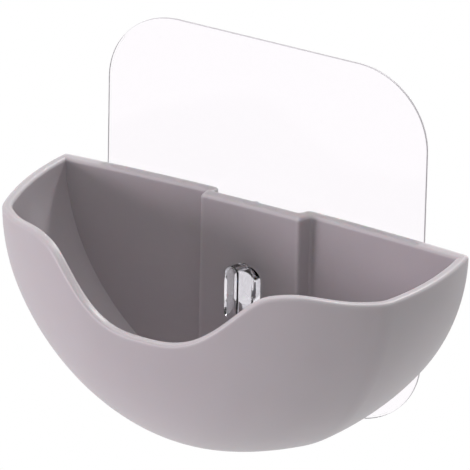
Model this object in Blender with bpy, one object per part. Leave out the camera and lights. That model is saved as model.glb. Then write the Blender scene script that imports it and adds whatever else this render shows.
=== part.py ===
"""Wall-hung half-bowl soap dish with a waved rim, on a clear adhesive sheet.

Run it with: blender --background --python part.py

Lengths are metres and +Z is up. The wall is the plane Y = 0 and the dish faces -Y. The origin is the
middle of the adhesive layer's wall face. The dish hangs by the slot in its centre panel on the neck of
a clear moulded hook. It lifts along +Z until the slot clears the hook's head, and then pulls forward.
"""

import math

import bmesh
import bpy

# Wall sheet: a clear film with a gel layer on its back
SHEET_WIDTH = 0.1000
SHEET_HEIGHT = 0.1060
SHEET_CORNER_RADIUS = 0.0218
FILM_THICKNESS = 0.0008
GEL_THICKNESS = 0.0006
GEL_INSET = 0.0004

# Seat between two pieces that touch
CLEARANCE = 0.0003

# Plan of the bowl at the rim level: three tangent arcs on each side
DISH_WIDTH = 0.1280
RIM_BELOW_SHEET_TOP = 0.0482
SIDE_ARC_LENGTH = 0.0370
SIDE_SPLAY = math.radians(8.4)
SIDE_END_TURN = math.radians(17.0)
CORNER_RADIUS = 0.0108
CORNER_END_TURN = math.radians(42.9)

# Section of the bowl: superellipses from the rim level down to the lowest point
BOWL_HEIGHT = 0.0649
SIDE_POWER = 1.92
FRONT_POWER = 2.53
WALL = 0.0028

# Wave of the rim: a low front between two raised shoulders, and a crowned back edge
FRONT_DIP = 0.0151
DIP_HALF_WIDTH = 0.0349
DIP_POWER = 1.59
SHOULDER_RISE = 0.0035
SHOULDER_X = 0.0402
SHOULDER_SPREAD = 0.0117
BACK_CROWN = 0.0015
RIM_EDGE_RADIUS = 0.0010
REAR_EDGE_RADIUS = 0.0004

# Back wall with its forward centre panel and the recess behind it
BACK_WALL = 0.0029
PANEL_HALF_WIDTH = 0.0155
PANEL_FLARE = 0.0010
PANEL_FORWARD = 0.0077
PANEL_RISE = 0.0007
PANEL_WALL = 0.0036
RECESS_HALF_WIDTH = 0.0136
PANEL_FILLET = 0.0009
RECESS_FILLET = 0.0020
RIB_RADIUS = 0.0009
RIB_STANDS_OUT = 0.0006
RIB_LENGTH = 0.0100
RIB_BELOW_EDGE = 0.0002

# Arch-topped slot that the hook comes through
SLOT_HALF_WIDTH = 0.0049
SLOT_TOP_BELOW_RIM = 0.0163

# Drain holes in the bottom of the bowl
DRAIN_COUNT = 5
DRAIN_DIAMETER = 0.0040
DRAIN_PITCH = 0.0100
DRAIN_FROM_BACK = 0.0220

# Clear hook: its neck and head are one thin arch that is open below
HOOK_PLATE_WIDTH = 0.0200
HOOK_PLATE_HEIGHT = 0.0260
HOOK_PLATE_THICKNESS = 0.0018
HOOK_PLATE_CORNER = 0.0040
HOOK_NECK_HALF_WIDTH = 0.0032
HOOK_NECK_HEIGHT = 0.0099
HOOK_HEAD_GAP = 0.0022
HOOK_HEAD_LENGTH = 0.0073
HOOK_HEAD_FRONT_HALF_WIDTH = 0.0023
HOOK_HEAD_RISE = 0.0042
HOOK_HEAD_BACK_DROP = 0.0015
HOOK_HEAD_BELOW_NECK = 0.0020
HOOK_WALL = 0.0011
HOOK_EDGE = 0.0005

# How far the slot has to rise above its seat to clear the head
LIFT_TRAVEL = HOOK_HEAD_RISE

# Facets
SIDE_STEPS = 12
CORNER_STEPS = 3
FRONT_STEPS = 22
BOWL_ROWS = 18
EDGE_STEPS = 3
ARC_STEPS = 9
PANEL_STEPS = 4
FLAT_STEPS = 8
SMOOTH_ANGLE = math.radians(30)

# Levels that follow from the sizes above
FILM_BACK_Y = -(GEL_THICKNESS + CLEARANCE)
FILM_FRONT_Y = FILM_BACK_Y - FILM_THICKNESS
BACK_Y = FILM_FRONT_Y - CLEARANCE
RIM_Z = SHEET_HEIGHT / 2 - RIM_BELOW_SHEET_TOP
HALF_WIDTH = DISH_WIDTH / 2
SLOT_TOP_Z = RIM_Z - SLOT_TOP_BELOW_RIM
NECK_TOP_Z = SLOT_TOP_Z - CLEARANCE
NECK_BOTTOM_Z = NECK_TOP_Z - HOOK_NECK_HEIGHT
HEAD_TOP_Z = NECK_TOP_Z + HOOK_HEAD_RISE
HEAD_BOTTOM_Z = NECK_BOTTOM_Z - HOOK_HEAD_BELOW_NECK
SLOT_BOTTOM_Z = HEAD_BOTTOM_Z - LIFT_TRAVEL - CLEARANCE
PANEL_FRONT_Y = BACK_Y - PANEL_FORWARD
RECESS_Y = PANEL_FRONT_Y + PANEL_WALL

# How far building shapes run past the faces that they meet
OVERRUN = 0.0015
TRIM = 0.0002


def clear_scene():
    """Remove the objects that the file opened with."""
    for item in list(bpy.data.objects):
        bpy.data.objects.remove(item, do_unlink=True)


def material(name, colour, roughness, alpha=1.0):
    """Plain Principled material."""
    mat = bpy.data.materials.new(name)
    mat.use_nodes = True
    shader = mat.node_tree.nodes["Principled BSDF"]
    shader.inputs["Base Color"].default_value = (*colour, 1.0)
    shader.inputs["Roughness"].default_value = roughness
    shader.inputs["Metallic"].default_value = 0.0
    shader.inputs["Alpha"].default_value = alpha
    mat.diffuse_color = (*colour, alpha)
    return mat


def finish_object(name, bm, mat=None):
    """Turn a bmesh into a named, smooth-shaded object."""
    bmesh.ops.remove_doubles(bm, verts=bm.verts, dist=1e-7)
    bmesh.ops.recalc_face_normals(bm, faces=bm.faces)
    mesh = bpy.data.meshes.new(name)
    bm.to_mesh(mesh)
    bm.free()
    mesh.shade_smooth()
    mesh.set_sharp_from_angle(angle=SMOOTH_ANGLE)
    item = bpy.data.objects.new(name, mesh)
    bpy.context.scene.collection.objects.link(item)
    if mat is not None:
        mesh.materials.append(mat)
    return item


def guide(item):
    """Mark an object that only cuts or builds another one."""
    item.hide_render = True
    item.display_type = "WIRE"
    return item


def boolean(item, other, operation):
    """Add an exact Boolean that stays live on the object."""
    modifier = item.modifiers.new(other.name, "BOOLEAN")
    modifier.object = other
    modifier.operation = operation
    modifier.solver = "EXACT"


def loft(name, sections, closed, mat=None):
    """Skin a row of sections with equal point counts, and cap the first and the last."""
    bm = bmesh.new()
    rings = [[bm.verts.new(point) for point in section] for section in sections]
    count = len(rings[0])
    spans = count if closed else count - 1
    for ring, following in zip(rings, rings[1:]):
        for i in range(spans):
            k = (i + 1) % count
            bm.faces.new((ring[i], ring[k], following[k], following[i]))
    bmesh.ops.triangulate(bm, faces=bm.faces)
    bm.faces.new(rings[0])
    bm.faces.new(rings[-1])
    return finish_object(name, bm, mat)


def arc_points(x, y, start, end, length, steps):
    """Points along a plan arc whose heading turns from start to end, as (x, y, heading)."""
    rate = (end - start) / length
    points = []
    for i in range(1, steps + 1):
        heading = start + (end - start) * i / steps
        points.append((
            x + (math.cos(heading) - math.cos(start)) / rate,
            y - (math.sin(heading) - math.sin(start)) / rate,
            heading,
        ))
    return points


def plan_half():
    """Right half of the rim's plan, from the wall round to the middle of the front."""
    points = [(HALF_WIDTH, 0.0, -SIDE_SPLAY)]
    points += arc_points(*points[-1][:2], -SIDE_SPLAY, SIDE_END_TURN, SIDE_ARC_LENGTH, SIDE_STEPS)
    corner_length = CORNER_RADIUS * (CORNER_END_TURN - SIDE_END_TURN)
    points += arc_points(*points[-1][:2], SIDE_END_TURN, CORNER_END_TURN, corner_length, CORNER_STEPS)
    front_radius = points[-1][0] / math.cos(CORNER_END_TURN)
    front_length = front_radius * (math.pi / 2 - CORNER_END_TURN)
    points += arc_points(*points[-1][:2], CORNER_END_TURN, math.pi / 2, front_length, FRONT_STEPS)
    return points


def offset_plan(distance):
    """Both halves of the plan moved inwards by a distance, from the right side to the left."""
    right = []
    for x, y, heading in plan_half():
        right.append((x - distance * math.cos(heading), y + distance * math.sin(heading)))
    side = right[0]
    right[0] = (side[0] + side[1] * math.tan(SIDE_SPLAY), 0.0)
    right[-1] = (0.0, right[-1][1])
    return right + [(-x, y) for x, y in reversed(right[:-1])]


def shrink(depth, height, power):
    """Share of the plan that is left at a depth below the rim level."""
    if depth <= 0.0:
        return 1.0
    return max(0.0, 1.0 - min(1.0, depth / height) ** power) ** (1.0 / power)


def skin_point(plan_point, z, inset):
    """Point of the bowl skin that lies inset from the outer one, at height z over the rim level."""
    height = BOWL_HEIGHT - inset
    x, y = plan_point
    return (x * shrink(-z, height, SIDE_POWER), y * shrink(-z, height, FRONT_POWER), z)


def rim_height(x):
    """Height of the waved rim over the rim level, along the sides and the front."""
    share = min(1.0, abs(x) / DIP_HALF_WIDTH) ** DIP_POWER
    dip = -FRONT_DIP * 0.5 * (1.0 + math.cos(math.pi * share))
    return dip + SHOULDER_RISE * math.exp(-((abs(x) - SHOULDER_X) / SHOULDER_SPREAD) ** 2)


def back_height(x):
    """Height of the crowned back edge over the rim level."""
    return rim_height(HALF_WIDTH) + BACK_CROWN * (1.0 - (x / HALF_WIDTH) ** 2)


def column_depths(top, inset):
    """Heights from the lowest point, left out, up to the top of one skin."""
    height = BOWL_HEIGHT - inset
    first = math.asin(max(-1.0, min(1.0, -top / height)))
    return [
        -height * math.sin(math.pi / 2 + (first - math.pi / 2) * row / BOWL_ROWS)
        for row in range(1, BOWL_ROWS + 1)
    ]


def edge_profile(first_radius, last_radius, thickness):
    """Rounded top of a wall as (share of the thickness, drop below the top)."""
    turns = [math.pi / 2 * i / EDGE_STEPS for i in range(1, EDGE_STEPS + 1)]
    rising = [(first_radius * (1 - math.cos(a)), first_radius * (1 - math.sin(a))) for a in turns]
    falling = [
        (thickness - last_radius * (1 - math.cos(a)), last_radius * (1 - math.sin(a)))
        for a in reversed(turns)
    ]
    return [(s / thickness, drop) for s, drop in rising + falling]


def place(point):
    """Move a point from the dish's own level to its place on the wall."""
    return (point[0], BACK_Y + point[1], RIM_Z + point[2])


def bowl_columns(plan_points, make_column):
    """Columns round the bowl, with one more behind the wall plane at each end."""
    columns = [make_column(point) for point in plan_points]
    first = [(x, OVERRUN, z) for x, y, z in columns[0]]
    last = [(x, OVERRUN, z) for x, y, z in columns[-1]]
    return [[place(p) for p in column] for column in [first] + columns + [last]]


def bowl_shell(mat):
    """The bowl's curved wall: outer skin, rounded waved rim and inner skin in one loft."""
    outer_plan = offset_plan(0.0)
    inner_plan = offset_plan(WALL)
    pairs = dict(zip(outer_plan, inner_plan))
    profile = edge_profile(RIM_EDGE_RADIUS, RIM_EDGE_RADIUS, WALL)

    def make_column(outer):
        inner = pairs[outer]
        top = rim_height(outer[0])
        shoulder = top - RIM_EDGE_RADIUS
        column = [(0.0, 0.0, -BOWL_HEIGHT)]
        column += [skin_point(outer, z, 0.0) for z in column_depths(shoulder, 0.0)]
        for share, drop in profile:
            z = top - drop
            a = skin_point(outer, z, 0.0)
            b = skin_point(inner, z, WALL)
            column.append((a[0] + (b[0] - a[0]) * share, a[1] + (b[1] - a[1]) * share, z))
        column += [skin_point(inner, z, WALL) for z in reversed(column_depths(shoulder, WALL))]
        column.append((0.0, 0.0, WALL - BOWL_HEIGHT))
        return column

    return loft("dish", bowl_columns(outer_plan, make_column), False, mat)


def bowl_trim():
    """Closed half bowl whose skin runs in the middle of the wall, to trim what meets the wall."""
    inset = WALL / 2
    top = SHOULDER_RISE + BACK_CROWN + WALL

    def make_column(point):
        column = [(0.0, 0.0, inset - BOWL_HEIGHT)]
        column += [skin_point(point, z, inset) for z in column_depths(0.0, inset)]
        column += [(point[0], point[1], top), (0.0, 0.0, top)]
        return column

    columns = bowl_columns(offset_plan(inset), make_column)
    behind = [(x, y + OVERRUN, z) for x, y, z in columns[0]]
    behind_last = [(x, y + OVERRUN, z) for x, y, z in columns[-1]]
    return guide(loft("bowl_trim", [behind] + columns + [behind_last], False))


def fillet(corner, before, after, radius):
    """Arc that rounds a plan corner between the directions to two neighbours."""
    a = (before[0] - corner[0], before[1] - corner[1])
    b = (after[0] - corner[0], after[1] - corner[1])
    turn = math.pi - abs(math.atan2(a[0] * b[1] - a[1] * b[0], a[0] * b[0] + a[1] * b[1]))
    reach = radius * math.tan(turn / 2)
    a = [v / math.hypot(*a) for v in a]
    b = [v / math.hypot(*b) for v in b]
    bisector = (a[0] + b[0], a[1] + b[1])
    scale = radius / math.cos(turn / 2) / math.hypot(*bisector)
    centre = (corner[0] + bisector[0] * scale, corner[1] + bisector[1] * scale)
    start = (corner[0] + a[0] * reach, corner[1] + a[1] * reach)
    sign = 1.0 if a[0] * b[1] - a[1] * b[0] < 0 else -1.0
    points = []
    for i in range(EDGE_STEPS + 1):
        angle = sign * turn * i / EDGE_STEPS
        dx = start[0] - centre[0]
        dy = start[1] - centre[1]
        points.append((
            centre[0] + dx * math.cos(angle) - dy * math.sin(angle),
            centre[1] + dx * math.sin(angle) + dy * math.cos(angle),
        ))
    return points


def hat_path(base, top, base_radius, top_radius):
    """Plan line of one face of the back wall, from the middle of the panel to its right end."""
    base_y, top_y = base[1], top[1]
    straight = top[0] - top_radius
    path = [(straight * i / PANEL_STEPS, top_y) for i in range(PANEL_STEPS)]
    path += fillet(top, (0.0, top_y), base, top_radius)
    path += fillet(base, top, (HALF_WIDTH, base_y), base_radius)
    last = path[-1][0]
    path += [(last + (HALF_WIDTH - last) * i / FLAT_STEPS, base_y) for i in range(1, FLAT_STEPS + 1)]
    return path


def back_wall(trim):
    """Back wall with its forward panel, lofted along the wall and trimmed to the bowl."""
    base, top = (RECESS_HALF_WIDTH, TRIM), (RECESS_HALF_WIDTH, RECESS_Y - BACK_Y)
    rear = hat_path(base, top, RECESS_FILLET, PANEL_FILLET)
    base, top = (PANEL_HALF_WIDTH + PANEL_FLARE, -BACK_WALL), (PANEL_HALF_WIDTH, -PANEL_FORWARD)
    front = hat_path(base, top, PANEL_FILLET, PANEL_FILLET)
    bottom = -BOWL_HEIGHT - WALL
    profile = edge_profile(REAR_EDGE_RADIUS, RIM_EDGE_RADIUS, BACK_WALL)
    sections = []
    pairs = list(zip(rear, front))
    mirrored = [((-r[0], r[1]), (-f[0], f[1])) for r, f in reversed(pairs[1:])]
    for r, f in mirrored + pairs:
        lift = PANEL_RISE * (-f[1] - BACK_WALL) / (PANEL_FORWARD - BACK_WALL)
        section = [(*r, bottom), (*r, back_height(r[0]) + lift - REAR_EDGE_RADIUS)]
        for share, drop in profile:
            x = r[0] + (f[0] - r[0]) * share
            y = r[1] + (f[1] - r[1]) * share
            section.append((x, y, back_height(x) + lift - drop))
        section += [(*f, back_height(f[0]) + lift - RIM_EDGE_RADIUS), (*f, bottom)]
        sections.append([place(p) for p in section])
    wall = guide(loft("back_wall", sections, True))
    boolean(wall, trim, "INTERSECT")
    return wall


def block(name, low, high):
    """Plain box between two corners."""
    bm = bmesh.new()
    bmesh.ops.create_cube(bm, size=1.0)
    for vert in bm.verts:
        vert.co = [low[i] + (high[i] - low[i]) * (vert.co[i] + 0.5) for i in range(3)]
    return finish_object(name, bm)


def outline_prism(name, outline, front_y, back_y, mat=None):
    """Solid from an outline in X and Z, between two planes across Y."""
    sections = [[(x, y, z) for x, z in outline] for y in (front_y, back_y)]
    return loft(name, sections, True, mat)


def rounded_rectangle(width, height, radius, centre_z=0.0):
    """Outline of a rectangle with arcs at its corners, as (x, z)."""
    points = []
    for quarter, (sx, sz) in enumerate(((1, 1), (-1, 1), (-1, -1), (1, -1))):
        cx = sx * (width / 2 - radius)
        cz = centre_z + sz * (height / 2 - radius)
        for i in range(ARC_STEPS + 1):
            angle = math.pi / 2 * (quarter + i / ARC_STEPS)
            points.append((cx + radius * math.cos(angle), cz + radius * math.sin(angle)))
    return points


def stadium(half_width, top, bottom, shrunk=0.0):
    """Upright outline with half-round ends, as (x, z)."""
    radius = half_width - shrunk
    points = []
    for centre, start in ((top - half_width, 0.0), (bottom + half_width, math.pi)):
        for i in range(ARC_STEPS + 1):
            angle = start + math.pi * i / ARC_STEPS
            points.append((radius * math.cos(angle), centre + radius * math.sin(angle)))
    return points


def build_dish(mat):
    """The moulded half bowl: shell, back wall with panel and recess, slot and drain holes."""
    dish = bowl_shell(mat)
    boolean(dish, back_wall(bowl_trim()), "UNION")

    reach = DISH_WIDTH
    behind = block("rear_trim", (-reach, BACK_Y, -reach), (reach, BACK_Y + 4 * OVERRUN, reach))
    boolean(dish, guide(behind), "DIFFERENCE")

    outline = stadium(SLOT_HALF_WIDTH, SLOT_TOP_Z, SLOT_BOTTOM_Z)
    slot = outline_prism("slot_cutter", outline, PANEL_FRONT_Y - OVERRUN, RECESS_Y + OVERRUN)
    boolean(dish, guide(slot), "DIFFERENCE")

    bm = bmesh.new()
    for i in range(DRAIN_COUNT):
        x = (i - (DRAIN_COUNT - 1) / 2) * DRAIN_PITCH
        made = bmesh.ops.create_cone(
            bm, cap_ends=True, segments=2 * ARC_STEPS, radius1=DRAIN_DIAMETER / 2,
            radius2=DRAIN_DIAMETER / 2, depth=BOWL_HEIGHT / 2,
        )
        centre = (x, BACK_Y - DRAIN_FROM_BACK, RIM_Z - BOWL_HEIGHT)
        bmesh.ops.translate(bm, verts=made["verts"], vec=centre)
    boolean(dish, guide(finish_object("drain_cutter", bm)), "DIFFERENCE")

    rib_top = RIM_Z + back_height(0.0) + PANEL_RISE - RIB_BELOW_EDGE
    rib_y = RECESS_Y + RIB_STANDS_OUT - RIB_RADIUS
    bm = bmesh.new()
    made = bmesh.ops.create_cone(
        bm, cap_ends=True, segments=2 * ARC_STEPS, radius1=RIB_RADIUS,
        radius2=RIB_RADIUS, depth=RIB_LENGTH,
    )
    bmesh.ops.translate(bm, verts=made["verts"], vec=(0.0, rib_y, rib_top - RIB_LENGTH / 2))
    boolean(dish, guide(finish_object("panel_rib", bm)), "UNION")
    return dish


def build_hook(mat):
    """Clear hook: a plate that is bonded to the film, and a hollow neck with a raised head."""
    plate_front = BACK_Y - HOOK_PLATE_THICKNESS
    neck_middle = (NECK_TOP_Z + NECK_BOTTOM_Z) / 2
    outline = rounded_rectangle(HOOK_PLATE_WIDTH, HOOK_PLATE_HEIGHT, HOOK_PLATE_CORNER, neck_middle)
    hook = outline_prism("hook", outline, plate_front, BACK_Y, mat)

    head_back = PANEL_FRONT_Y - HOOK_HEAD_GAP
    head_front = head_back - HOOK_HEAD_LENGTH
    back_top = HEAD_TOP_Z - HOOK_HEAD_BACK_DROP
    neck = (HOOK_NECK_HALF_WIDTH, NECK_TOP_Z, NECK_BOTTOM_Z)
    back = (HOOK_NECK_HALF_WIDTH, back_top, HEAD_BOTTOM_Z)
    front = (HOOK_HEAD_FRONT_HALF_WIDTH, HEAD_TOP_Z, HEAD_BOTTOM_Z)
    stations = [
        ((plate_front + BACK_Y) / 2, neck, 0.0),
        (head_back, neck, 0.0),
        (head_back - HOOK_EDGE, back, 0.0),
        (head_front + HOOK_EDGE, front, 0.0),
        (head_front, front, HOOK_EDGE),
    ]
    sections = [[(x, y, z) for x, z in stadium(*shape, edge)] for y, shape, edge in stations]
    boolean(hook, guide(loft("hook_prong", sections, True)), "UNION")

    core_back = head_back - HOOK_WALL
    floor = neck_middle - HOOK_PLATE_HEIGHT
    stations = [
        (plate_front - TRIM, HOOK_NECK_HALF_WIDTH, NECK_TOP_Z),
        (core_back, HOOK_NECK_HALF_WIDTH, NECK_TOP_Z),
        (core_back - HOOK_EDGE, HOOK_NECK_HALF_WIDTH, back_top),
        (head_front + HOOK_WALL, HOOK_HEAD_FRONT_HALF_WIDTH, HEAD_TOP_Z),
    ]
    sections = []
    for y, half_width, top in stations:
        outline = stadium(half_width - HOOK_WALL, top - HOOK_WALL, floor)
        sections.append([(x, y, z) for x, z in outline])
    boolean(hook, guide(loft("hook_core", sections, True)), "DIFFERENCE")
    return hook


def main():
    clear_scene()
    plastic = material("satin_polypropylene", (0.51, 0.44, 0.48), 0.45)
    clear = material("clear_polycarbonate", (0.95, 0.96, 0.97), 0.08, 0.35)
    film = material("clear_film", (0.93, 0.93, 0.95), 0.12, 0.35)
    gel = material("clear_gel", (0.93, 0.93, 0.93), 0.40, 0.45)

    build_dish(plastic)
    build_hook(clear)
    outline = rounded_rectangle(SHEET_WIDTH, SHEET_HEIGHT, SHEET_CORNER_RADIUS)
    outline_prism("carrier_sheet", outline, FILM_FRONT_Y, FILM_BACK_Y, film)
    gel_outline = rounded_rectangle(
        SHEET_WIDTH - 2 * GEL_INSET, SHEET_HEIGHT - 2 * GEL_INSET, SHEET_CORNER_RADIUS - GEL_INSET
    )
    outline_prism("adhesive_layer", gel_outline, -GEL_THICKNESS, 0.0, gel)


if __name__ == "__main__":
    main()
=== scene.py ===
"""Wall soap dish: a waved half bowl that hangs on a clear hook bonded to a clear adhesive sheet.

The file is laid out as an add-on and is run as a script. Lengths are metres, +Z is up, the wall is the
plane Y = 0 and the dish faces -Y.
"""

import math

import bmesh
import bpy
from bpy.props import FloatProperty, FloatVectorProperty, IntProperty, PointerProperty
from mathutils import Matrix, Vector


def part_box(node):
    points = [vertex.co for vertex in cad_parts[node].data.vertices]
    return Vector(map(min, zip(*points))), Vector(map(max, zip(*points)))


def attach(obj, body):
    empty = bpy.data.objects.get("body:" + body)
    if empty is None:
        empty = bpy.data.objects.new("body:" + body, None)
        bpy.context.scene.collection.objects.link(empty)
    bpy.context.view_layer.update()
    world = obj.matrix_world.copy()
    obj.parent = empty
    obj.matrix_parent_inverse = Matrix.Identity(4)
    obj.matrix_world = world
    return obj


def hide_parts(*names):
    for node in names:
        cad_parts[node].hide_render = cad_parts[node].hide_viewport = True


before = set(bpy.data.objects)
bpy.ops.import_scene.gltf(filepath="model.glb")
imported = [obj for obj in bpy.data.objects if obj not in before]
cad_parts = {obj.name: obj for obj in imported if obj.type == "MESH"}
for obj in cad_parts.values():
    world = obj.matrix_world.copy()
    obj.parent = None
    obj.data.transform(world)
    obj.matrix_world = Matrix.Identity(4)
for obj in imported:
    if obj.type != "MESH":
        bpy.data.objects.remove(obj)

bl_info = {
    "name": "Half-bowl wall soap dish",
    "version": (1, 0, 0),
    "blender": (4, 5, 0),
    "location": "3D View > Sidebar > Soap Dish",
    "description": "Waved half-bowl soap dish with its clear hook and adhesive sheet",
    "category": "Add Mesh",
}

MM = 0.001

# Places that the frame gives
DISH_LOW, DISH_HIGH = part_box("dish")
FILM_LOW, FILM_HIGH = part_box("carrier_sheet")
GEL_LOW, GEL_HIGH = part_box("adhesive_layer")
HOOK_LOW, HOOK_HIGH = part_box("hook")
BACK_Y = DISH_HIGH.y
BOWL_HEIGHT = 0.0649
RIM_Z = DISH_LOW.z + BOWL_HEIGHT

# Seat between two pieces that touch
CLEARANCE = 0.3 * MM

# How far the building shapes run past the faces that they cut or meet
OVERRUN = 0.0015
TRIM = 0.0002

# Facets of the fine mesh
SIDE_STEPS = 26
CORNER_STEPS = 8
FRONT_STEPS = 44
BOWL_ROWS = 44
EDGE_STEPS = 6
ARC_STEPS = 15
PANEL_STEPS = 8
FLAT_STEPS = 16
PLATE_EDGE_STEPS = 3
SMOOTH_ANGLE = math.radians(30.0)

# Refractive indices. Film and gel are bonded in life and only their outer faces mirror. They lie a
# clearance apart here, so theirs were lowered from about 1.57 and 1.47.
FILM_IOR = 1.25
GEL_IOR = 1.06
HOOK_IOR = 1.58


def linear(hex_colour):
    """sRGB hex string to a linear colour with alpha."""
    channels = [int(hex_colour[i:i + 2], 16) / 255 for i in (1, 3, 5)]
    return [c / 12.92 if c <= 0.04045 else ((c + 0.055) / 1.055) ** 2.4 for c in channels] + [1.0]


def colour_property(name, description, hex_colour):
    """Colour setting with its default given as sRGB hex."""
    return FloatVectorProperty(
        name=name, description=description, subtype="COLOR", size=4, min=0.0, max=1.0,
        default=linear(hex_colour),
    )


def length_property(name, description, millimetres):
    """Length setting with its default given in millimetres."""
    return FloatProperty(
        name=name, description=description, default=millimetres * MM, min=0.0, unit="LENGTH",
    )


def angle_property(name, description, degrees):
    """Angle setting with its default given in degrees."""
    return FloatProperty(
        name=name, description=description, default=math.radians(degrees), unit="ROTATION",
    )


class SoapDishSizes(bpy.types.PropertyGroup):
    """Sizes of the moulded dish"""

    width: length_property("Width", "Width of the flat back at the rim level", 128.0)
    wall: length_property("Wall", "Thickness of the bowl's wall", 2.8)
    back_wall: length_property("Back wall", "Thickness of the flat back wall", 2.9)
    side_arc: length_property("Side arc", "Length of each side in plan", 37.0)
    side_splay: angle_property("Side splay", "How far a side leans out where it leaves the wall", 8.4)
    side_turn: angle_property("Side turn", "Heading of a side where its corner begins", 17.0)
    corner_radius: length_property("Corner radius", "Plan radius of a front corner", 10.8)
    corner_turn: angle_property("Corner turn", "Heading where the front arc begins", 42.9)
    side_power: FloatProperty(
        name="Side fullness", description="Power of the bowl's curve seen from the front",
        default=1.92, min=1.2, max=4.0,
    )
    front_power: FloatProperty(
        name="Front fullness", description="Power of the bowl's curve seen from the side",
        default=2.53, min=1.2, max=4.0,
    )
    dip: length_property("Front dip", "Depth of the wave in the middle of the front", 15.1)
    dip_half_width: length_property("Dip half width", "Half width of the dip", 34.9)
    dip_power: FloatProperty(
        name="Dip shape", description="Power that draws the dip's slopes outwards",
        default=1.59, min=0.5, max=4.0,
    )
    shoulder_rise: length_property("Shoulder rise", "Height of the wave's two crests", 3.5)
    shoulder_x: length_property("Shoulder place", "Distance of a crest from the middle", 40.2)
    shoulder_spread: length_property("Shoulder spread", "Half width of a crest", 11.7)
    crown: length_property("Back crown", "Rise of the back edge in its middle", 1.5)
    rim_radius: length_property("Rim radius", "Rounding of the edges of the rim", 1.0)
    rear_radius: length_property("Rear radius", "Rounding of the back's rear edge", 0.4)
    drains: IntProperty(name="Drain holes", description="Number of drain holes", default=5, min=0)
    drain_diameter: length_property("Drain diameter", "Diameter of a drain hole", 4.0)
    drain_pitch: length_property("Drain pitch", "Distance between drain holes", 10.0)
    drain_from_back: length_property("Drain place", "Distance of the holes from the back", 22.0)


class SoapDishPanel(bpy.types.PropertyGroup):
    """Sizes of the centre panel, its recess and its slot"""

    half_width: length_property("Panel half width", "Half width of the panel's face", 15.5)
    flare: length_property("Panel flare", "How far each flank runs out to the back wall", 1.0)
    forward: length_property("Panel forward", "Panel face in front of the dish's back", 7.7)
    rise: length_property("Panel rise", "Panel's edge above the back edge beside it", 0.7)
    wall: length_property("Panel wall", "Thickness of the panel", 3.6)
    recess_half_width: length_property("Recess half width", "Half width behind the panel", 13.6)
    fillet: length_property("Panel fillet", "Rounding of the panel's upright edges", 0.9)
    recess_fillet: length_property("Recess fillet", "Rounding of the recess's rear edges", 2.0)
    slot_half_width: length_property("Slot half width", "Half width of the slot", 3.7)
    slot_top: length_property("Slot top", "Top of the slot below the rim level", 16.3)
    slot_chamfer: length_property("Slot chamfer", "Chamfer round the slot's front edge", 0.4)
    rib_radius: length_property("Rib radius", "Radius of the rib behind the panel", 0.9)
    rib_stands_out: length_property("Rib height", "How far the rib stands out of the recess", 0.6)
    rib_length: length_property("Rib length", "Length of the rib behind the panel", 10.0)
    rib_below_edge: length_property("Rib top", "Top of the rib below the panel's edge", 0.2)


class SoapDishHook(bpy.types.PropertyGroup):
    """Sizes of the clear hook"""

    plate_thickness: length_property("Plate thickness", "Thickness of the bonded plate", 1.8)
    plate_corner: length_property("Plate corner", "Corner radius of the plate", 4.0)
    neck_half_width: length_property("Neck half width", "Half width of the neck", 3.2)
    neck_height: length_property("Neck height", "Height of the neck", 9.9)
    head_gap: length_property("Head gap", "Distance from the panel's face to the head", 2.2)
    head_front_half_width: length_property("Head half width", "Half width of the head's front", 2.3)
    head_rise: length_property("Head rise", "Top of the head above the neck", 4.2)
    head_back_drop: length_property("Head slope", "Fall of the head's top towards the wall", 1.5)
    head_below_neck: length_property("Head foot", "Bottom of the head below the neck", 2.0)
    edge: length_property("Hook edge", "Rounding of the head's edges", 0.5)
    wall: length_property("Hook wall", "Wall round the hollow that the mould's core leaves", 0.8)


class SoapDishSheet(bpy.types.PropertyGroup):
    """Corners and edges of the film and the gel"""

    film_corner: length_property("Film corner", "Corner radius of the film", 21.8)
    film_edge: length_property("Film edge", "Softening of the film's edges", 0.15)
    gel_corner: length_property("Gel corner", "Corner radius of the gel", 21.4)
    gel_edge: length_property("Gel edge", "Softening of the gel's edges", 0.12)


class SoapDishFinish(bpy.types.PropertyGroup):
    """Colours of the pieces"""

    plastic: colour_property("Plastic", "Moulded plastic of the dish", "#B3ACB0")
    # Colour of the highlight painted on the moulding's convex outer edges
    painted_edge_highlight: colour_property("Painted edge highlight", "Outer edges of the moulding", "#DAD7D9")
    hook: colour_property("Hook", "Clear plastic of the hook", "#F6F6F8")
    film: colour_property("Film", "Clear film of the sheet", "#FFFDFF")
    film_edge: colour_property("Film edge", "Die-cut edge of the film", "#C9C5CA")
    gel: colour_property("Gel", "Adhesive gel behind the film", "#FFFEFF")
    floor: colour_property("Floor", "Floor and background", "#FFFFFF")


class SoapDishStage(bpy.types.PropertyGroup):
    """Camera, lights and floor"""

    azimuth: angle_property("Azimuth", "Camera's turn from straight ahead, to the right", 29.14)
    elevation: angle_property("Elevation", "Camera's height above the level", 24.34)
    roll: angle_property("Roll", "Camera's roll", -1.315)
    distance: length_property("Distance", "Camera from the middle of the back edge", 2030.0)
    pixels_per_metre: FloatProperty(
        name="Scale", description="Photograph's pixels in a metre at the back edge",
        default=3642.0, min=1.0,
    )
    centre_x: FloatProperty(
        name="Centre X", description="Photograph's pixel of the back edge's middle, across",
        default=263.4,
    )
    centre_y: FloatProperty(
        name="Centre Y", description="Photograph's pixel of the back edge's middle, down",
        default=203.7,
    )
    frame_pixels: FloatProperty(
        name="Frame", description="Width and height of the photograph in pixels", default=470.0,
    )
    floor_drop: length_property("Floor drop", "Floor below the dish", 260.0)
    floor_size: length_property("Floor size", "Half width of the floor", 3000.0)
    world_light: FloatProperty(
        name="World light", description="Strength of the even light all round", default=0.41, min=0.0,
    )


# Materials

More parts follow.
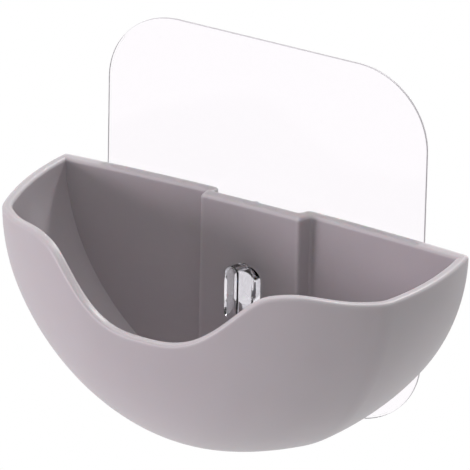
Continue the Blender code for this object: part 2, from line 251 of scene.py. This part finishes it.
def node(tree, kind, inputs=None, **settings):
    """Add a node with its settings; an input is a value, or a (node, output) pair to link."""
    made = tree.nodes.new(kind)
    for name, value in settings.items():
        setattr(made, name, value)
    for name, value in (inputs or {}).items():
        if isinstance(value, tuple) and isinstance(value[0], bpy.types.Node):
            tree.links.new(value[0].outputs[value[1]], made.inputs[name])
        else:
            made.inputs[name].default_value = value
    return made


def new_material(name):
    """Empty node material with its output."""
    mat = bpy.data.materials.new(name)
    mat.use_nodes = True
    tree = mat.node_tree
    tree.nodes.clear()
    return mat, tree, node(tree, "ShaderNodeOutputMaterial")


def seen_directly(tree):
    """Node that gives 1 to rays from the camera, off a glossy face or through clear plastic."""
    ray = node(tree, "ShaderNodeLightPath")
    seen = node(tree, "ShaderNodeMath", {
        0: (ray, "Is Camera Ray"), 1: (ray, "Is Glossy Ray"),
    }, operation="MAXIMUM")
    return node(tree, "ShaderNodeMath", {
        0: (seen, 0), 1: (ray, "Is Transmission Ray"),
    }, operation="MAXIMUM")


def satin_plastic(finish):
    """Satin injection-moulded polypropylene.

    A spark-eroded mould leaves a fine even grain that blurs the highlight, and the pigment lies in
    faint clouds. The photograph is too coarse to show the grain's real size, so 0.5 mm is a guess.
    Outer edges carry a painted highlight: they are drawn paler and greyer than the faces, as light
    catching the rounded edges would make them.
    """
    mat, tree, output = new_material("Satin moulded polypropylene")
    place = node(tree, "ShaderNodeTexCoord")
    grain = node(tree, "ShaderNodeTexNoise", {
        "Vector": (place, "Object"), "Scale": 1 / (0.5 * MM), "Detail": 2.0, "Roughness": 0.5,
    })
    clouds = node(tree, "ShaderNodeTexNoise", {
        "Vector": (place, "Object"), "Scale": 1 / (30 * MM), "Detail": 2.0, "Roughness": 0.5,
    })
    base = list(finish.plastic)
    tint = node(tree, "ShaderNodeValToRGB", {"Fac": (clouds, "Fac")})
    tint.color_ramp.elements[0].position = 0.3
    tint.color_ramp.elements[0].color = [c * 0.97 for c in base[:3]] + [1.0]
    tint.color_ramp.elements[1].position = 0.7
    tint.color_ramp.elements[1].color = [min(1.0, c * 1.03) for c in base[:3]] + [1.0]
    gloss = node(tree, "ShaderNodeMapRange", {
        "Value": (grain, "Fac"), "To Min": 0.36, "To Max": 0.46,
    })
    bump = node(tree, "ShaderNodeBump", {
        "Height": (grain, "Fac"), "Strength": 0.12, "Distance": 0.05 * MM,
    })
    # Painted highlight: an inside ambient-occlusion mask finds the convex edges, and the mix below
    # paints them in the paler edge colour
    edges = node(tree, "ShaderNodeAmbientOcclusion", {"Distance": 1.3 * MM}, samples=12, inside=True)
    edge_highlight_share = node(tree, "ShaderNodeMapRange", {
        "Value": (edges, "AO"), "From Min": 0.97, "From Max": 0.60, "To Max": 0.75,
    })
    tone = node(tree, "ShaderNodeMix", {
        0: (edge_highlight_share, "Result"), 6: (tint, "Color"), 7: list(finish.painted_edge_highlight),
    }, data_type="RGBA")
    shader = node(tree, "ShaderNodeBsdfPrincipled", {
        "Base Color": (tone, 2), "Roughness": (gloss, "Result"), "IOR": 1.49,
        "Normal": (bump, "Normal"), "Subsurface Weight": 0.12, "Subsurface Scale": 1.2 * MM,
    })
    tree.links.new(shader.outputs["BSDF"], output.inputs["Surface"])
    return mat


def clear_plastic(name, colour, ior, roughness, ripple, ripple_size):
    """Clear plastic that bends light, with the faint waviness that its making leaves."""
    mat, tree, output = new_material(name)
    place = node(tree, "ShaderNodeTexCoord")
    waves = node(tree, "ShaderNodeTexNoise", {
        "Vector": (place, "Object"), "Scale": 1 / ripple_size, "Detail": 1.0,
    })
    bump = node(tree, "ShaderNodeBump", {
        "Height": (waves, "Fac"), "Strength": 0.3, "Distance": ripple,
    })
    haze = node(tree, "ShaderNodeMapRange", {
        "Value": (waves, "Fac"), "To Min": roughness * 0.8, "To Max": roughness * 1.2,
    })
    shader = node(tree, "ShaderNodeBsdfPrincipled", {
        "Base Color": list(colour), "Roughness": (haze, "Result"), "IOR": ior,
        "Transmission Weight": 1.0, "Normal": (bump, "Normal"),
    })
    tree.links.new(shader.outputs["BSDF"], output.inputs["Surface"])
    return mat


def cut_edge(finish):
    """Die-cut edge of the film: the blade leaves a finely frosted face that reads as a grey line."""
    mat, tree, output = new_material("Die-cut PET edge")
    place = node(tree, "ShaderNodeTexCoord")
    frost = node(tree, "ShaderNodeTexNoise", {
        "Vector": (place, "Object"), "Scale": 1 / (0.6 * MM), "Detail": 3.0,
    })
    tone = node(tree, "ShaderNodeMapRange", {
        "Value": (frost, "Fac"), "To Min": 0.45, "To Max": 0.65,
    })
    shader = node(tree, "ShaderNodeBsdfPrincipled", {
        "Base Color": list(finish.film_edge), "Roughness": (tone, "Result"), "IOR": 1.57,
        "Transmission Weight": 0.35,
    })
    tree.links.new(shader.outputs["BSDF"], output.inputs["Surface"])
    return mat


# Mesh helpers

def warp_grid(bm, sections):
    """Grid of quads laid over a row of sections with equal point counts."""
    along = len(sections) - 1
    across = len(sections[0]) - 1
    made = bmesh.ops.create_grid(bm, x_segments=along, y_segments=across, size=1.0)
    for vert in made["verts"]:
        i = round((vert.co.x + 1) / 2 * along)
        j = round((vert.co.y + 1) / 2 * across)
        vert.co = sections[i][j]


def close_up(bm):
    """Merge seams and poles, fill the open ends and turn the faces outwards."""
    bmesh.ops.remove_doubles(bm, verts=bm.verts, dist=1e-7)
    bmesh.ops.dissolve_degenerate(bm, edges=bm.edges, dist=1e-8)
    bmesh.ops.triangulate(bm, faces=bm.faces)
    open_edges = [edge for edge in bm.edges if edge.is_boundary]
    if open_edges:
        bmesh.ops.holes_fill(bm, edges=open_edges, sides=0)
    bmesh.ops.recalc_face_normals(bm, faces=bm.faces)


def make_object(name, bm):
    """Object from a bmesh, which is freed."""
    mesh = bpy.data.meshes.new(name)
    bm.to_mesh(mesh)
    bm.free()
    item = bpy.data.objects.new(name, mesh)
    bpy.context.scene.collection.objects.link(item)
    return item


def loft(name, sections):
    """Closed solid over a row of sections; a closed section repeats its first point at its end."""
    bm = bmesh.new()
    warp_grid(bm, sections)
    close_up(bm)
    return make_object(name, bm)


def round_bar(name, radius, length, centre):
    """Upright round bar, used to cut or to add a rib."""
    bm = bmesh.new()
    made = bmesh.ops.create_cone(
        bm, cap_ends=True, segments=4 * ARC_STEPS + 2, radius1=radius, radius2=radius, depth=length,
    )
    bmesh.ops.translate(bm, verts=made["verts"], vec=centre)
    return make_object(name, bm)


def rounded_plate(name, low, high, corner, edge, front_y):
    """Upright plate with rounded corners and softened edges, filling a box up to its front."""
    bm = bmesh.new()
    bmesh.ops.create_cube(bm, size=1.0)
    size = (high.x - low.x, high.y - front_y, high.z - low.z)
    centre = ((high.x + low.x) / 2, (high.y + front_y) / 2, (high.z + low.z) / 2)
    bmesh.ops.scale(bm, verts=bm.verts, vec=size)
    across = [e for e in bm.edges if abs(e.verts[0].co.y - e.verts[1].co.y) > size[1] / 2]
    bmesh.ops.bevel(
        bm, geom=across, offset=corner, offset_type="OFFSET", segments=2 * ARC_STEPS, profile=0.5,
        affect="EDGES", material=-1,
    )
    rims = [e for e in bm.edges if abs(e.verts[0].co.y - e.verts[1].co.y) < size[1] / 2]
    bmesh.ops.bevel(
        bm, geom=rims, offset=edge, offset_type="OFFSET", segments=PLATE_EDGE_STEPS, profile=0.5,
        affect="EDGES", material=-1,
    )
    bmesh.ops.translate(bm, verts=bm.verts, vec=centre)
    bmesh.ops.recalc_face_normals(bm, faces=bm.faces)
    return make_object(name, bm)


def combine(item, steps):
    """Run exact Booleans on an object, apply them and remove the other shapes."""
    for other, operation in steps:
        modifier = item.modifiers.new(other.name, "BOOLEAN")
        modifier.object = other
        modifier.operation = operation
        modifier.solver = "EXACT"
    graph = bpy.context.evaluated_depsgraph_get()
    result = bpy.data.meshes.new_from_object(item.evaluated_get(graph))
    item.modifiers.clear()
    old = item.data
    item.data = result
    bpy.data.meshes.remove(old)
    for other, operation in steps:
        bpy.data.objects.remove(other, do_unlink=True)
    return item


def dress(item, mats, body, node_name):
    """Smooth an object, give it its materials and put it on its body in place of its CAD node."""
    item.data.shade_smooth()
    item.data.set_sharp_from_angle(angle=SMOOTH_ANGLE)
    item.data.materials.clear()
    for mat in mats:
        item.data.materials.append(mat)
    weights = item.modifiers.new("Even normals", "WEIGHTED_NORMAL")
    weights.keep_sharp = True
    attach(item, body)
    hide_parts(node_name)


def stadium(half_width, top, bottom, grow=0.0):
    """Upright closed outline with half-round ends, as (x, z)."""
    radius = half_width + grow
    points = []
    for centre, start in ((top - half_width, 0.0), (bottom + half_width, math.pi)):
        for i in range(ARC_STEPS + 1):
            angle = start + math.pi * i / ARC_STEPS
            points.append((radius * math.cos(angle), centre + radius * math.sin(angle)))
    return points + points[:1]


# The bowl's surfaces

def arc_points(x, y, start, end, length, steps):
    """Points along a plan arc whose heading turns from start to end, as (x, y, heading)."""
    rate = (end - start) / length
    points = []
    for i in range(1, steps + 1):
        heading = start + (end - start) * i / steps
        points.append((
            x + (math.cos(heading) - math.cos(start)) / rate,
            y - (math.sin(heading) - math.sin(start)) / rate,
            heading,
        ))
    return points


def plan_half(dish):
    """Right half of the rim's plan, from the wall round to the middle of the front."""
    start, middle, end = -dish.side_splay, dish.side_turn, dish.corner_turn
    points = [(dish.width / 2, 0.0, start)]
    points += arc_points(*points[-1][:2], start, middle, dish.side_arc, SIDE_STEPS)
    length = dish.corner_radius * (end - middle)
    points += arc_points(*points[-1][:2], middle, end, length, CORNER_STEPS)
    radius = points[-1][0] / math.cos(end)
    length = radius * (math.pi / 2 - end)
    return points + arc_points(*points[-1][:2], end, math.pi / 2, length, FRONT_STEPS)


def offset_plan(dish, distance):
    """Both halves of the plan moved inwards by a distance, from the right side to the left."""
    right = []
    for x, y, heading in plan_half(dish):
        right.append((x - distance * math.cos(heading), y + distance * math.sin(heading)))
    side = right[0]
    right[0] = (side[0] + side[1] * math.tan(dish.side_splay), 0.0)
    right[-1] = (0.0, right[-1][1])
    return right + [(-x, y) for x, y in reversed(right[:-1])]


def shrink(depth, height, power):
    """Share of the plan that is left at a depth below the rim level."""
    if depth <= 0.0:
        return 1.0
    return max(0.0, 1.0 - min(1.0, depth / height) ** power) ** (1.0 / power)


def skin_point(dish, plan_point, z, inset):
    """Point of the bowl skin that lies inset from the outer one, at height z over the rim level."""
    height = BOWL_HEIGHT - inset
    x, y = plan_point
    return (x * shrink(-z, height, dish.side_power), y * shrink(-z, height, dish.front_power), z)


def rim_height(dish, x):
    """Height of the waved rim over the rim level, along the sides and the front."""
    share = min(1.0, abs(x) / dish.dip_half_width) ** dish.dip_power
    low = -dish.dip * 0.5 * (1.0 + math.cos(math.pi * share))
    crest = math.exp(-((abs(x) - dish.shoulder_x) / dish.shoulder_spread) ** 2)
    return low + dish.shoulder_rise * crest


def back_height(dish, x):
    """Height of the crowned back edge over the rim level."""
    half = dish.width / 2
    return rim_height(dish, half) + dish.crown * (1.0 - (x / half) ** 2)


def column_depths(top, inset):
    """Heights from just above the lowest point up to the top of one skin."""
    height = BOWL_HEIGHT - inset
    first = math.asin(max(-1.0, min(1.0, -top / height)))
    return [
        -height * math.sin(math.pi / 2 + (first - math.pi / 2) * row / BOWL_ROWS)
        for row in range(1, BOWL_ROWS + 1)
    ]


def edge_profile(first_radius, last_radius, thickness):
    """Rounded top of a wall as (share of the thickness, drop below the top)."""
    turns = [math.pi / 2 * i / EDGE_STEPS for i in range(1, EDGE_STEPS + 1)]
    rising = [(first_radius * (1 - math.cos(a)), first_radius * (1 - math.sin(a))) for a in turns]
    falling = [
        (thickness - last_radius * (1 - math.cos(a)), last_radius * (1 - math.sin(a)))
        for a in reversed(turns)
    ]
    return [(s / thickness, drop) for s, drop in rising + falling]


def place(point):
    """Move a point from the dish's own level to its place on the wall."""
    return (point[0], BACK_Y + point[1], RIM_Z + point[2])


def bowl_columns(plan_points, make_column, behind):
    """Columns round the bowl, with more behind the wall plane at each end."""
    columns = [make_column(point) for point in plan_points]
    first = [[(x, y, z) for x, _, z in columns[0]] for y in reversed(behind)]
    last = [[(x, y, z) for x, _, z in columns[-1]] for y in behind]
    return [[place(p) for p in column] for column in first + columns + last]


def bowl_shell(dish):
    """The bowl's curved wall: outer skin, rounded waved rim and inner skin in one loft."""
    outer_plan = offset_plan(dish, 0.0)
    pairs = dict(zip(outer_plan, offset_plan(dish, dish.wall)))
    profile = edge_profile(dish.rim_radius, dish.rim_radius, dish.wall)

    def make_column(outer):
        inner = pairs[outer]
        top = rim_height(dish, outer[0])
        shoulder = top - dish.rim_radius
        column = [(0.0, 0.0, -BOWL_HEIGHT)]
        column += [skin_point(dish, outer, z, 0.0) for z in column_depths(shoulder, 0.0)]
        for share, drop in profile:
            z = top - drop
            a = skin_point(dish, outer, z, 0.0)
            b = skin_point(dish, inner, z, dish.wall)
            column.append((a[0] + (b[0] - a[0]) * share, a[1] + (b[1] - a[1]) * share, z))
        depths = reversed(column_depths(shoulder, dish.wall))
        column += [skin_point(dish, inner, z, dish.wall) for z in depths]
        column.append((0.0, 0.0, dish.wall - BOWL_HEIGHT))
        return column

    return loft("soap_dish_bowl", bowl_columns(outer_plan, make_column, [OVERRUN]))


def bowl_trim(dish):
    """Closed half bowl whose skin runs in the middle of the wall, to trim the back wall."""
    inset = dish.wall / 2
    top = dish.shoulder_rise + dish.crown + dish.wall

    def make_column(point):
        column = [(0.0, 0.0, inset - BOWL_HEIGHT)]
        column += [skin_point(dish, point, z, inset) for z in column_depths(0.0, inset)]
        return column + [(point[0], point[1], top), (0.0, 0.0, top)]

    return loft("trim", bowl_columns(offset_plan(dish, inset), make_column, [OVERRUN, 2 * OVERRUN]))


def fillet(corner, before, after, radius):
    """Arc that rounds a plan corner between the directions to two neighbours."""
    a = (Vector(before) - Vector(corner)).normalized()
    b = (Vector(after) - Vector(corner)).normalized()
    turn = math.pi - a.angle(b)
    centre = Vector(corner) + (a + b).normalized() * radius / math.cos(turn / 2)
    start = Vector(corner) + a * radius * math.tan(turn / 2) - centre
    sign = 1.0 if a.x * b.y - a.y * b.x < 0 else -1.0
    points = []
    for i in range(EDGE_STEPS + 1):
        point = centre + Matrix.Rotation(sign * turn * i / EDGE_STEPS, 2) @ start
        points.append(tuple(point))
    return points


def hat_path(end_x, base, top, base_radius, top_radius):
    """Plan line of one face of the back wall, from the middle of the panel to its right end."""
    top_y, base_y = top[1], base[1]
    straight = top[0] - top_radius
    path = [(straight * i / PANEL_STEPS, top_y) for i in range(PANEL_STEPS)]
    path += fillet(top, (0.0, top_y), base, top_radius)
    path += fillet(base, top, (end_x, base_y), base_radius)
    last = path[-1][0]
    flat = [(last + (end_x - last) * i / FLAT_STEPS, base_y) for i in range(1, FLAT_STEPS + 1)]
    return path + flat


def back_wall(dish, panel):
    """Back wall with its forward panel, lofted along the wall and trimmed to the bowl."""
    end = dish.width / 2
    recess = panel.recess_half_width
    base, top = (recess, TRIM), (recess, panel.wall - panel.forward)
    rear = hat_path(end, base, top, panel.recess_fillet, panel.fillet)
    base = (panel.half_width + panel.flare, -dish.back_wall)
    top = (panel.half_width, -panel.forward)
    front = hat_path(end, base, top, panel.fillet, panel.fillet)
    bottom = -BOWL_HEIGHT - dish.wall
    profile = edge_profile(dish.rear_radius, dish.rim_radius, dish.back_wall)
    pairs = list(zip(rear, front))
    mirrored = [((-r[0], r[1]), (-f[0], f[1])) for r, f in reversed(pairs[1:])]
    sections = []
    for r, f in mirrored + pairs:
        lift = panel.rise * (-f[1] - dish.back_wall) / (panel.forward - dish.back_wall)
        section = [(*r, bottom), (*r, back_height(dish, r[0]) + lift - dish.rear_radius)]
        for share, drop in profile:
            x = r[0] + (f[0] - r[0]) * share
            y = r[1] + (f[1] - r[1]) * share
            section.append((x, y, back_height(dish, x) + lift - drop))
        section.append((*f, back_height(dish, f[0]) + lift - dish.rim_radius))
        section += [(*f, bottom), (*r, bottom)]
        sections.append([place(p) for p in section])
    return combine(loft("back_wall", sections), [(bowl_trim(dish), "INTERSECT")])


def hook_levels(panel, hook):
    """Heights of the slot and of the hook that holds it."""
    slot_top = RIM_Z - panel.slot_top
    neck_top = slot_top - CLEARANCE
    neck_bottom = neck_top - hook.neck_height
    head_top = neck_top + hook.head_rise
    head_bottom = neck_bottom - hook.head_below_neck
    slot_bottom = head_bottom - hook.head_rise - CLEARANCE
    return slot_top, slot_bottom, neck_top, neck_bottom, head_top, head_bottom


def slot_cutter(panel, hook):
    """Arch-topped slot with a small chamfer round its front edge."""
    top, bottom = hook_levels(panel, hook)[:2]
    face = BACK_Y - panel.forward
    stations = [
        (face - panel.slot_chamfer, 2 * panel.slot_chamfer),
        (face + panel.slot_chamfer, 0.0),
        (face + panel.wall + OVERRUN, 0.0),
    ]
    sections = [
        [(x, y, z) for x, z in stadium(panel.slot_half_width, top, bottom, grow)]
        for y, grow in stations
    ]
    return loft("slot", sections)


# Operators

class SOAPDISH_OT_stage(bpy.types.Operator):
    """Add the camera, the lights, the floor and the pale background"""

    bl_idname = "soapdish.stage"
    bl_label = "Add stage"

    def execute(self, context):
        scene = context.scene
        stage = scene.soap_dish_stage
        self.add_camera(scene, stage)
        self.add_floor(scene, scene.soap_dish_finish, stage)
        self.add_lights(scene)
        self.set_world(scene, scene.soap_dish_finish, stage)
        scene.view_settings.view_transform = "Standard"
        return {"FINISHED"}

    def add_camera(self, scene, stage):
        """Long lens at the photograph's angle, aimed so that the dish falls on its pixels."""
        a, e, r = stage.azimuth, stage.elevation, stage.roll
        right = Vector((math.cos(a), math.sin(a), 0.0))
        back = Vector((math.sin(a) * math.cos(e), -math.cos(a) * math.cos(e), math.sin(e)))
        up = back.cross(right)
        across = right * math.cos(r) - up * math.sin(r)
        upward = right * math.sin(r) + up * math.cos(r)
        origin = Vector((0.0, BACK_Y, RIM_Z))
        half = stage.frame_pixels / 2
        aim = origin + across * (half - stage.centre_x) / stage.pixels_per_metre
        aim -= upward * (half - stage.centre_y) / stage.pixels_per_metre
        position = origin + back * stage.distance
        z = (position - aim).normalized()
        x = upward.cross(z).normalized()
        y = z.cross(x)
        data = bpy.data.cameras.new("Camera")
        data.sensor_width = 36.0
        data.lens = stage.pixels_per_metre * stage.distance / stage.frame_pixels * data.sensor_width
        data.clip_start = 0.01
        data.clip_end = 20.0
        camera = bpy.data.objects.new("Camera", data)
        camera.matrix_world = Matrix.Translation(position) @ Matrix((x, y, z)).transposed().to_4x4()
        scene.collection.objects.link(camera)
        scene.camera = camera

    def add_floor(self, scene, finish, stage):
        """Wide plain floor that is white to the camera and lights the bowl from below."""
        bm = bmesh.new()
        bmesh.ops.create_grid(bm, x_segments=1, y_segments=1, size=stage.floor_size)
        bmesh.ops.translate(bm, verts=bm.verts, vec=(0.0, 0.0, DISH_LOW.z - stage.floor_drop))
        floor = make_object("floor", bm)
        mat, tree, output = new_material("White studio floor")
        seen = seen_directly(tree)
        plain = node(tree, "ShaderNodeBsdfDiffuse", {"Color": [0.8, 0.8, 0.8, 1.0]})
        white = node(tree, "ShaderNodeEmission", {"Color": list(finish.floor), "Strength": 1.0})
        mix = node(tree, "ShaderNodeMixShader", {0: (seen, 0), 1: (plain, 0), 2: (white, 0)})
        tree.links.new(mix.outputs[0], output.inputs["Surface"])
        floor.data.materials.append(mat)

    def add_lights(self, scene):
        """Low key from the front left, soft light from above, and a lamp behind that edges the rim."""
        lamps = (
            ("Key", (-0.83, -1.15, 0.10), 0.5, 8.8, (1.0, 0.90, 0.98)),
            ("Side", (-0.57, -0.36, 1.22), 0.5, 1.4, (1.0, 1.0, 1.0)),
            ("Top", (0.00, -0.08, 1.38), 0.5, 4.2, (1.0, 1.0, 1.0)),
            ("Rim", (0.20, 0.87, 1.05), 0.3, 11.0, (1.0, 1.0, 1.0)),
        )
        target = Vector((0.0, -0.03, -0.02))
        for name, position, size, power, colour in lamps:
            data = bpy.data.lights.new(name, "AREA")
            data.shape = "DISK"
            data.size = size
            data.energy = power
            data.color = colour
            lamp = bpy.data.objects.new(name, data)
            direction = target - Vector(position)
            lamp.matrix_world = (
                Matrix.Translation(position) @ direction.to_track_quat("-Z", "Y").to_matrix().to_4x4()
            )
            scene.collection.objects.link(lamp)

    def set_world(self, scene, finish, stage):
        """Even grey light all round, seen as white."""
        world = bpy.data.worlds.new("Studio")
        world.use_nodes = True
        tree = world.node_tree
        tree.nodes.clear()
        seen = seen_directly(tree)
        light = node(tree, "ShaderNodeBackground", {
            "Color": [1.0, 1.0, 1.0, 1.0], "Strength": stage.world_light,
        })
        white = node(tree, "ShaderNodeBackground", {"Color": list(finish.floor), "Strength": 1.0})
        mix = node(tree, "ShaderNodeMixShader", {0: (seen, 0), 1: (light, 0), 2: (white, 0)})
        output = node(tree, "ShaderNodeOutputWorld")
        tree.links.new(mix.outputs[0], output.inputs["Surface"])
        scene.world = world


class SOAPDISH_OT_dish(bpy.types.Operator):
    """Add the moulded dish: waved half bowl, back wall with its panel, slot, rib and drain holes"""

    bl_idname = "soapdish.dish"
    bl_label = "Add dish"

    def execute(self, context):
        scene = context.scene
        dish, panel = scene.soap_dish_sizes, scene.soap_dish_panel
        item = bowl_shell(dish)
        bm = bmesh.new()
        bmesh.ops.create_cube(bm, size=2 * dish.width)
        bmesh.ops.translate(bm, verts=bm.verts, vec=(0.0, BACK_Y + dish.width, 0.0))
        behind = make_object("behind", bm)
        rib_y = BACK_Y - panel.forward + panel.wall + panel.rib_stands_out - panel.rib_radius
        rib_top = RIM_Z + back_height(dish, 0.0) + panel.rise - panel.rib_below_edge
        rib_centre = (0.0, rib_y, rib_top - panel.rib_length / 2)
        rib = round_bar("rib", panel.rib_radius, panel.rib_length, rib_centre)
        steps = [
            (back_wall(dish, panel), "UNION"),
            (behind, "DIFFERENCE"),
            (slot_cutter(panel, scene.soap_dish_hook), "DIFFERENCE"),
            (rib, "UNION"),
        ]
        for i in range(dish.drains):
            x = (i - (dish.drains - 1) / 2) * dish.drain_pitch
            centre = (x, BACK_Y - dish.drain_from_back, RIM_Z - BOWL_HEIGHT)
            cutter = round_bar(f"drain_{i}", dish.drain_diameter / 2, BOWL_HEIGHT / 2, centre)
            steps.append((cutter, "DIFFERENCE"))
        combine(item, steps)
        dress(item, [satin_plastic(scene.soap_dish_finish)], "dish", "dish")
        return {"FINISHED"}


class SOAPDISH_OT_hook(bpy.types.Operator):
    """Add the clear hook: bonded plate, neck and raised head"""

    bl_idname = "soapdish.hook"
    bl_label = "Add hook"

    def execute(self, context):
        scene = context.scene
        hook, panel = scene.soap_dish_hook, scene.soap_dish_panel
        levels = hook_levels(panel, hook)
        neck_top, neck_bottom, head_top, head_bottom = levels[2:]
        plate = rounded_plate(
            "clear_hook", HOOK_LOW, HOOK_HIGH, hook.plate_corner, hook.edge,
            HOOK_HIGH.y - hook.plate_thickness,
        )
        head_back = BACK_Y - panel.forward - hook.head_gap
        neck = (hook.neck_half_width, neck_top, neck_bottom)
        back = (hook.neck_half_width, head_top - hook.head_back_drop, head_bottom)
        front = (hook.head_front_half_width, head_top, head_bottom)
        stations = [
            (HOOK_HIGH.y - hook.plate_thickness / 2, neck, 0.0),
            (head_back, neck, 0.0),
            (head_back - hook.edge, back, 0.0),
        ]
        for i in range(EDGE_STEPS + 1):
            turn = math.pi / 2 * i / EDGE_STEPS
            y = HOOK_LOW.y + hook.edge * (1 - math.sin(turn))
            stations.append((y, front, -hook.edge * (1 - math.cos(turn))))
        sections = [[(x, y, z) for x, z in stadium(*shape, grow)] for y, shape, grow in stations]
        core = []
        for y, shape in ((head_back - hook.wall, back), (HOOK_LOW.y + hook.wall, front)):
            half_width, top, _ = shape
            outline = stadium(half_width - hook.wall, top - hook.wall, HOOK_LOW.z)
            core.append([(x, y, z) for x, z in outline])
        combine(plate, [(loft("prong", sections), "UNION"), (loft("core", core), "DIFFERENCE")])
        mat = clear_plastic(
            "Clear moulded polycarbonate", scene.soap_dish_finish.hook, HOOK_IOR,
            roughness=0.04, ripple=0.02 * MM, ripple_size=3 * MM,
        )
        dress(plate, [mat], "wall_mount", "hook")
        return {"FINISHED"}


class SOAPDISH_OT_film(bpy.types.Operator):
    """Add the clear film that carries the hook"""

    bl_idname = "soapdish.film"
    bl_label = "Add film"

    def execute(self, context):
        finish, sheet = context.scene.soap_dish_finish, context.scene.soap_dish_sheet
        film = rounded_plate(
            "clear_film", FILM_LOW, FILM_HIGH, sheet.film_corner, sheet.film_edge, FILM_LOW.y
        )
        clear = clear_plastic(
            "Clear PET film", finish.film, FILM_IOR,
            roughness=0.10, ripple=0.004 * MM, ripple_size=25 * MM,
        )
        dress(film, [clear, cut_edge(finish)], "wall_mount", "carrier_sheet")
        for face in film.data.polygons:
            face.material_index = 0 if abs(face.normal.y) > 0.9 else 1
        return {"FINISHED"}


class SOAPDISH_OT_gel(bpy.types.Operator):
    """Add the adhesive gel behind the film"""

    bl_idname = "soapdish.gel"
    bl_label = "Add gel"

    def execute(self, context):
        finish, sheet = context.scene.soap_dish_finish, context.scene.soap_dish_sheet
        gel = rounded_plate(
            "clear_gel", GEL_LOW, GEL_HIGH, sheet.gel_corner, sheet.gel_edge, GEL_LOW.y
        )
        mat = clear_plastic(
            "Clear acrylic gel", finish.gel, GEL_IOR,
            roughness=0.10, ripple=0.01 * MM, ripple_size=12 * MM,
        )
        dress(gel, [mat], "wall_mount", "adhesive_layer")
        return {"FINISHED"}


class SOAPDISH_PT_panel(bpy.types.Panel):
    """Settings and building steps of the soap dish"""

    bl_label = "Soap Dish"
    bl_idname = "SOAPDISH_PT_panel"
    bl_space_type = "VIEW_3D"
    bl_region_type = "UI"
    bl_category = "Soap Dish"

    def draw(self, context):
        layout = self.layout
        for group_name in GROUPS:
            group = getattr(context.scene, group_name)
            box = layout.box()
            for name in group.__annotations__:
                box.prop(group, name)
        for operator in OPERATORS:
            layout.operator(operator.bl_idname)


GROUPS = {
    "soap_dish_sizes": SoapDishSizes,
    "soap_dish_panel": SoapDishPanel,
    "soap_dish_hook": SoapDishHook,
    "soap_dish_sheet": SoapDishSheet,
    "soap_dish_finish": SoapDishFinish,
    "soap_dish_stage": SoapDishStage,
}
OPERATORS = (
    SOAPDISH_OT_stage,
    SOAPDISH_OT_gel,
    SOAPDISH_OT_film,
    SOAPDISH_OT_hook,
    SOAPDISH_OT_dish,
)


def register():
    """Register the settings, the operators and the panel."""
    for name, group in GROUPS.items():
        bpy.utils.register_class(group)
        setattr(bpy.types.Scene, name, PointerProperty(type=group))
    for operator in OPERATORS:
        bpy.utils.register_class(operator)
    bpy.utils.register_class(SOAPDISH_PT_panel)


def unregister():
    """Undo register."""
    bpy.utils.unregister_class(SOAPDISH_PT_panel)
    for operator in reversed(OPERATORS):
        bpy.utils.unregister_class(operator)
    for name, group in GROUPS.items():
        delattr(bpy.types.Scene, name)
        bpy.utils.unregister_class(group)


def main():
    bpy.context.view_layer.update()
    register()
    bpy.ops.soapdish.stage()
    bpy.ops.soapdish.gel()
    bpy.ops.soapdish.film()
    bpy.ops.soapdish.hook()
    bpy.ops.soapdish.dish()


if __name__ == "__main__":
    main()
